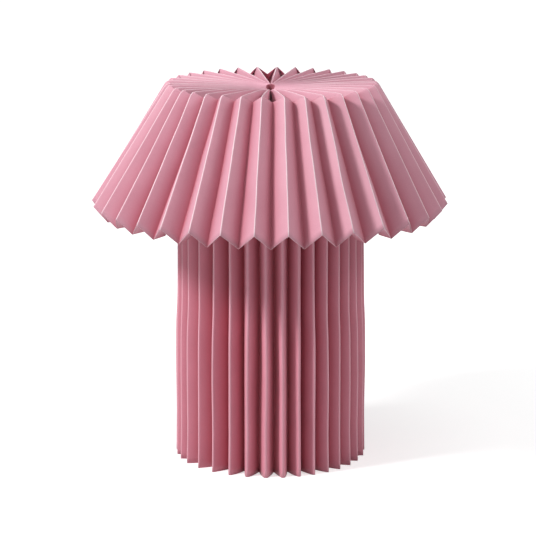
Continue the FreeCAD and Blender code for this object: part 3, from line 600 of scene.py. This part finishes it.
wear_finish(["hub_disc", "shade_spigot"], dyed_card(
    "grey board", (0.44, 0.35, 0.27), (0.56, 0.46, 0.36), (0.60, 0.50, 0.40),
    (0.40, 0.31, 0.24), 0.68, 0.84))


# ---- shade: rosette ----------------------------------------------------------------------------
# A straight strip of the same card in 34 deep pleats, laid flat in a circle: open at the rim, and
# gathered at the hub, where its 68 layers lie side by side round a small hole.

HUB_R = 0.004
ROSETTE_RIDGE_R, ROSETTE_VALLEY_R = 0.1021, 0.101
SHOULDER_Z, HUB_FLOOR_Z = 0.37755, 0.35015
SHADE_SHIFT = 0.0012

top_ridges = uneven(regular[is_ridge], [
    (-180, 2.6), (-143, 5.0), (-111, 7.5), (-90, 7.5), (-79.4, 3.8), (-68.8, 4.2), (-58.2, 2.2),
    (-47.6, 0.5), (-26, -0.8), (-5.3, 0.0), (5.3, 1.3), (26.5, 1.8), (47.6, 3.7), (68.8, 6.2),
    (79.4, 5.6), (90, 1.4), (100.6, 3.2), (121.8, 2.1), (180, 2.4)])
last_ridges = np.concatenate([[top_ridges[-1] - 360.0], top_ridges[:-1]])
top_azimuth = np.empty(2 * PLEATS)
top_azimuth[is_ridge] = top_ridges
top_azimuth[~is_ridge] = (last_ridges + top_ridges) / 2
to_front = ((1 + np.cos(np.radians(top_azimuth))) / 2)[:, None]

rosette_r = HUB_R * (ROSETTE_RIDGE_R / HUB_R) ** np.linspace(0.0, 1.0, 22)
rosette_r = np.concatenate([rosette_r[:-1], [0.0985, 0.1005, ROSETTE_RIDGE_R]])
rosette_share = (rosette_r - HUB_R) / (ROSETTE_RIDGE_R - HUB_R)
valley_r = HUB_R + rosette_share * (ROSETTE_VALLEY_R - HUB_R)
gather = np.clip((rosette_r - HUB_R) / 0.021, 0.0, 1.0) ** 0.5
rosette_azimuth = regular[:, None] * (1 - gather) + top_azimuth[:, None] * gather
rim_droop = 0.0009 * to_front * np.clip((rosette_r - 0.0985) / 0.0036, 0.0, 1.0) ** 2
hub_droop = 0.0052 * to_front ** 1.5 * np.exp(-(rosette_r - HUB_R) / 0.020)
ridge_z = SHOULDER_Z - 0.0036 * (1 - rosette_share) - rim_droop - hub_droop
valley_z = HUB_FLOOR_Z + 0.0054 * rosette_share
rosette_drift = wander(rng, 2 * PLEATS, rosette_share, 0.00035) * np.sin(np.pi * rosette_share)
rosette_lines = round_place(
    np.where(is_ridge[:, None], rosette_r, valley_r),
    rosette_azimuth + np.degrees(rosette_drift / rosette_r) * np.clip(rosette_share * 4, 0, 1),
    np.where(is_ridge[:, None], ridge_z, valley_z),
    SHADE_SHIFT * rosette_share)

spacing = np.radians(np.abs(np.roll(rosette_azimuth, -1, axis=0) - rosette_azimuth) % 360.0)
spacing = np.minimum(spacing, np.roll(spacing, 1, axis=0))
rosette_fold = np.minimum(0.00045, 0.48 * rosette_r * spacing)
rosette_bow = 0.04 * rosette_r * spacing * rng.uniform(-0.4, 1.0, (2 * PLEATS, 1))
rosette_surface, rosette_masks = pleated_surface(rosette_lines, rosette_fold, rosette_bow, outward)
# The painted ridge highlight fades out towards the hub, where the folds crowd together.
rosette_masks[0] = rosette_masks[0] * np.clip((rosette_r - 0.010) / 0.050, 0.0, 1.0)
# Painted shade on the rosette: softened over its panels and full at the hub's first station, so
# that the gathered layers round the hole are painted dark.
rosette_masks[1] = 0.7 * rosette_masks[1] ** 0.5
rosette_masks[1][:, 0] = 1.0
rosette = paper_piece("rosette_sheet", rosette_surface, rosette_masks, shade_card)
# The rosette's cut edges keep the card's own finish, so the hub's wall of edges takes that painted
# shade too.
rosette.modifiers["thickness"].material_offset_rim = 0
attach(rosette, "shade")
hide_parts("shade_rosette")


# ---- shade: skirt ------------------------------------------------------------------------------
# The sloping strip, folded into 34 pleats that widen downwards and glued outside the rosette's
# ends.  Its ridges round over the shoulder, and its valley tips hang lower than its ridge tips.

SKIRT_TOP_RIDGE_R, SKIRT_TOP_VALLEY_R, SKIRT_TOP_VALLEY_Z = 0.1038, 0.0948, 0.3713
HEM_RIDGE_R, HEM_RIDGE_Z = 0.1766, 0.25905
HEM_VALLEY_R, HEM_VALLEY_Z = 0.1639, 0.24428
HEM_SHIFT = -0.0008
SKIRT_LENGTH = 0.141
SHOULDER_ROUND = 0.0045

skirt_share = np.concatenate([[0.0, 0.006, 0.012, 0.019, 0.028, 0.04, 0.06],
                              np.linspace(0.09, 1.0, 22)])
hem_azimuth = np.where(
    is_ridge,
    uneven(regular, [
        (-180, 0), (-100, 1), (-68.8, 1.8), (-47.6, 2.5), (-37, 1.6), (-15.9, 0.9), (5.3, 0.4),
        (26.5, -0.2), (47.6, 0.9), (58.2, 1.5), (79, 4), (95, 4), (140, 2), (180, 0)]),
    uneven(regular, [
        (-180, 0), (-74.1, -0.7), (-42, 0.4), (0, 0.4), (31.8, 1.4), (52.9, 3.0), (63.5, 3.9),
        (74.1, 6.4), (95, 5), (140, 2), (180, 0)]))
top_end = round_place(np.where(is_ridge, SKIRT_TOP_RIDGE_R, SKIRT_TOP_VALLEY_R), top_azimuth,
                      np.where(is_ridge, SHOULDER_Z, SKIRT_TOP_VALLEY_Z), SHADE_SHIFT)
hem_end = round_place(np.where(is_ridge, HEM_RIDGE_R, HEM_VALLEY_R), hem_azimuth,
                      np.where(is_ridge, HEM_RIDGE_Z, HEM_VALLEY_Z), HEM_SHIFT)
down = skirt_share[:, None]
skirt_lines = top_end[:, None] * (1 - down) + hem_end[:, None] * down

top_out = unit(top_end * (1, 1, 0))[:, None]
hem_out = unit(hem_end * (1, 1, 0))[:, None]
round_over = is_ridge[:, None] * np.clip(
    1 - skirt_share * SKIRT_LENGTH / SHOULDER_ROUND, 0.0, 1.0) ** 2
skirt_lines = skirt_lines - top_out * (0.0021 * round_over * (0.3 + 0.7 * to_front))[..., None]
skirt_lines[..., 2] -= 0.0002 * round_over
skirt_drift = wander(rng, 2 * PLEATS, skirt_share, 0.0006) * np.sin(np.pi * skirt_share)
skirt_lines = skirt_lines + np.cross((0.0, 0.0, 1.0), hem_out) * skirt_drift[..., None]

skirt_fold = np.broadcast_to(np.where(is_ridge, 0.0007, 0.00055)[:, None], skirt_lines.shape[:2])
skirt_bow = (0.0003 + rng.uniform(-0.0004, 0.0005, (2 * PLEATS, 1))) * (
    0.4 + 0.6 * np.sin(np.pi * skirt_share))
skirt_surface, skirt_masks = pleated_surface(skirt_lines, skirt_fold, skirt_bow, outward)
# Painted shade on the skirt: a little over all of it, and more towards its valleys.
skirt_masks[1] = 0.24 + 0.76 * skirt_masks[1] ** 2
skirt = paper_piece("skirt_sheet", skirt_surface, skirt_masks, shade_card)
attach(skirt, "shade")
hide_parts("shade_skirt")


# ---- shade: turned hem -------------------------------------------------------------------------
# The skirt's card turned inwards along its hem, pleated with it, so that small facets show behind
# the hem between the valley tips.  It follows the skirt's folds straight towards the axis.

TURN_DEPTH = 0.0150

turn_share = np.array([0.0, 0.3, 0.65, 1.0])
turned_lines = np.repeat(skirt_lines[:, -1:], turn_share.size, axis=1) - hem_out * (
    2 * PAPER + TURN_DEPTH * turn_share[:, None])
turned_lines[..., 2] += 0.0004 + 0.0012 * turn_share
turned_surface, turned_masks = pleated_surface(
    turned_lines, np.full(turned_lines.shape[:2], 0.0006), np.zeros(turned_lines.shape[:2]),
    outward)
turned_masks[0] = -0.3 * np.abs(turned_masks[0])
turned_hem = paper_piece("skirt_turned_hem", turned_surface[:, ::-1], turned_masks[:, :, ::-1],
                         shade_card)
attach(turned_hem, "shade")
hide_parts("shade_skirt")


# ---- floor and light ---------------------------------------------------------------------------
# A plain white floor in a white room, lit by a softbox at the front left, a weaker one at the
# right and a broad one overhead.

FLOOR_R = 9
LIT_HEIGHT = 0.26

floor_mesh = bpy.data.meshes.new("floor")
floor_mesh.from_pydata([(-FLOOR_R, -FLOOR_R, 0), (FLOOR_R, -FLOOR_R, 0), (FLOOR_R, FLOOR_R, 0),
                        (-FLOOR_R, FLOOR_R, 0)], [], [(0, 1, 2, 3)])
floor = bpy.data.objects.new("floor", floor_mesh)
bpy.context.scene.collection.objects.link(floor)
floor_white, floor_tree, floor_shader, floor_place = new_finish(
    "floor white", Roughness=0.9, Specular_IOR_Level=0.0, Base_Color=(0.80, 0.80, 0.80, 1.0),
    Emission_Color=(1.0, 1.0, 1.0, 1.0))


def seen_directly(tree, low, high):
    """high for rays from the camera, in a reflection or through glass, and low for the rest."""
    ray = add(tree, "ShaderNodeLightPath")
    first = add(tree, "ShaderNodeMath", {0: ray.outputs["Is Camera Ray"],
                                         1: ray.outputs["Is Glossy Ray"]}, operation="ADD")
    any_of = add(tree, "ShaderNodeMath", {
        0: first.outputs[0], 1: ray.outputs["Is Transmission Ray"]}, operation="ADD",
        use_clamp=True)
    return spread(tree, any_of.outputs[0], 0.0, 1.0, low, high)


from_lamp = add(floor_tree, "ShaderNodeVectorMath", {0: floor_place}, operation="LENGTH")
lift = add(floor_tree, "ShaderNodeMath", {
    0: spread(floor_tree, from_lamp.outputs["Value"], 0.3, 1.6, 0.60, 0.92),
    1: seen_directly(floor_tree, 0.0, 1.0)}, operation="MULTIPLY")
floor_tree.links.new(lift.outputs[0], floor_shader.inputs["Emission Strength"])
floor_mesh.materials.append(floor_white)

room = bpy.data.worlds.new("white room")
bpy.context.scene.world = room
room.use_nodes = True
room_light = room.node_tree.nodes["Background"]
room_light.inputs["Color"].default_value = (1.0, 1.0, 1.0, 1.0)
room.node_tree.links.new(seen_directly(room.node_tree, 0.13, 1.0), room_light.inputs["Strength"])


def softbox(name, azimuth, elevation, distance, size, watts):
    """A square light that faces the shade from an azimuth (0 is the front, 90 the right)."""
    lamp = bpy.data.lights.new(name, "AREA")
    lamp.shape = "SQUARE"
    lamp.size = size
    lamp.energy = watts
    holder = bpy.data.objects.new(name, lamp)
    a, e = math.radians(azimuth), math.radians(elevation)
    towards = Vector((math.sin(a) * math.cos(e), -math.cos(a) * math.cos(e), math.sin(e)))
    target = Vector((0.0, 0.0, LIT_HEIGHT))
    holder.location = target + distance * towards
    holder.rotation_euler = (-towards).to_track_quat("-Z", "Y").to_euler()
    bpy.context.scene.collection.objects.link(holder)


softbox("key", -65.0, 37.0, 2.5, 0.45, 50.0)
softbox("fill", 72.0, 38.0, 2.8, 1.0, 18.0)
softbox("top", 20.0, 80.0, 2.4, 1.6, 15.0)

bpy.context.scene.view_settings.view_transform = "Standard"
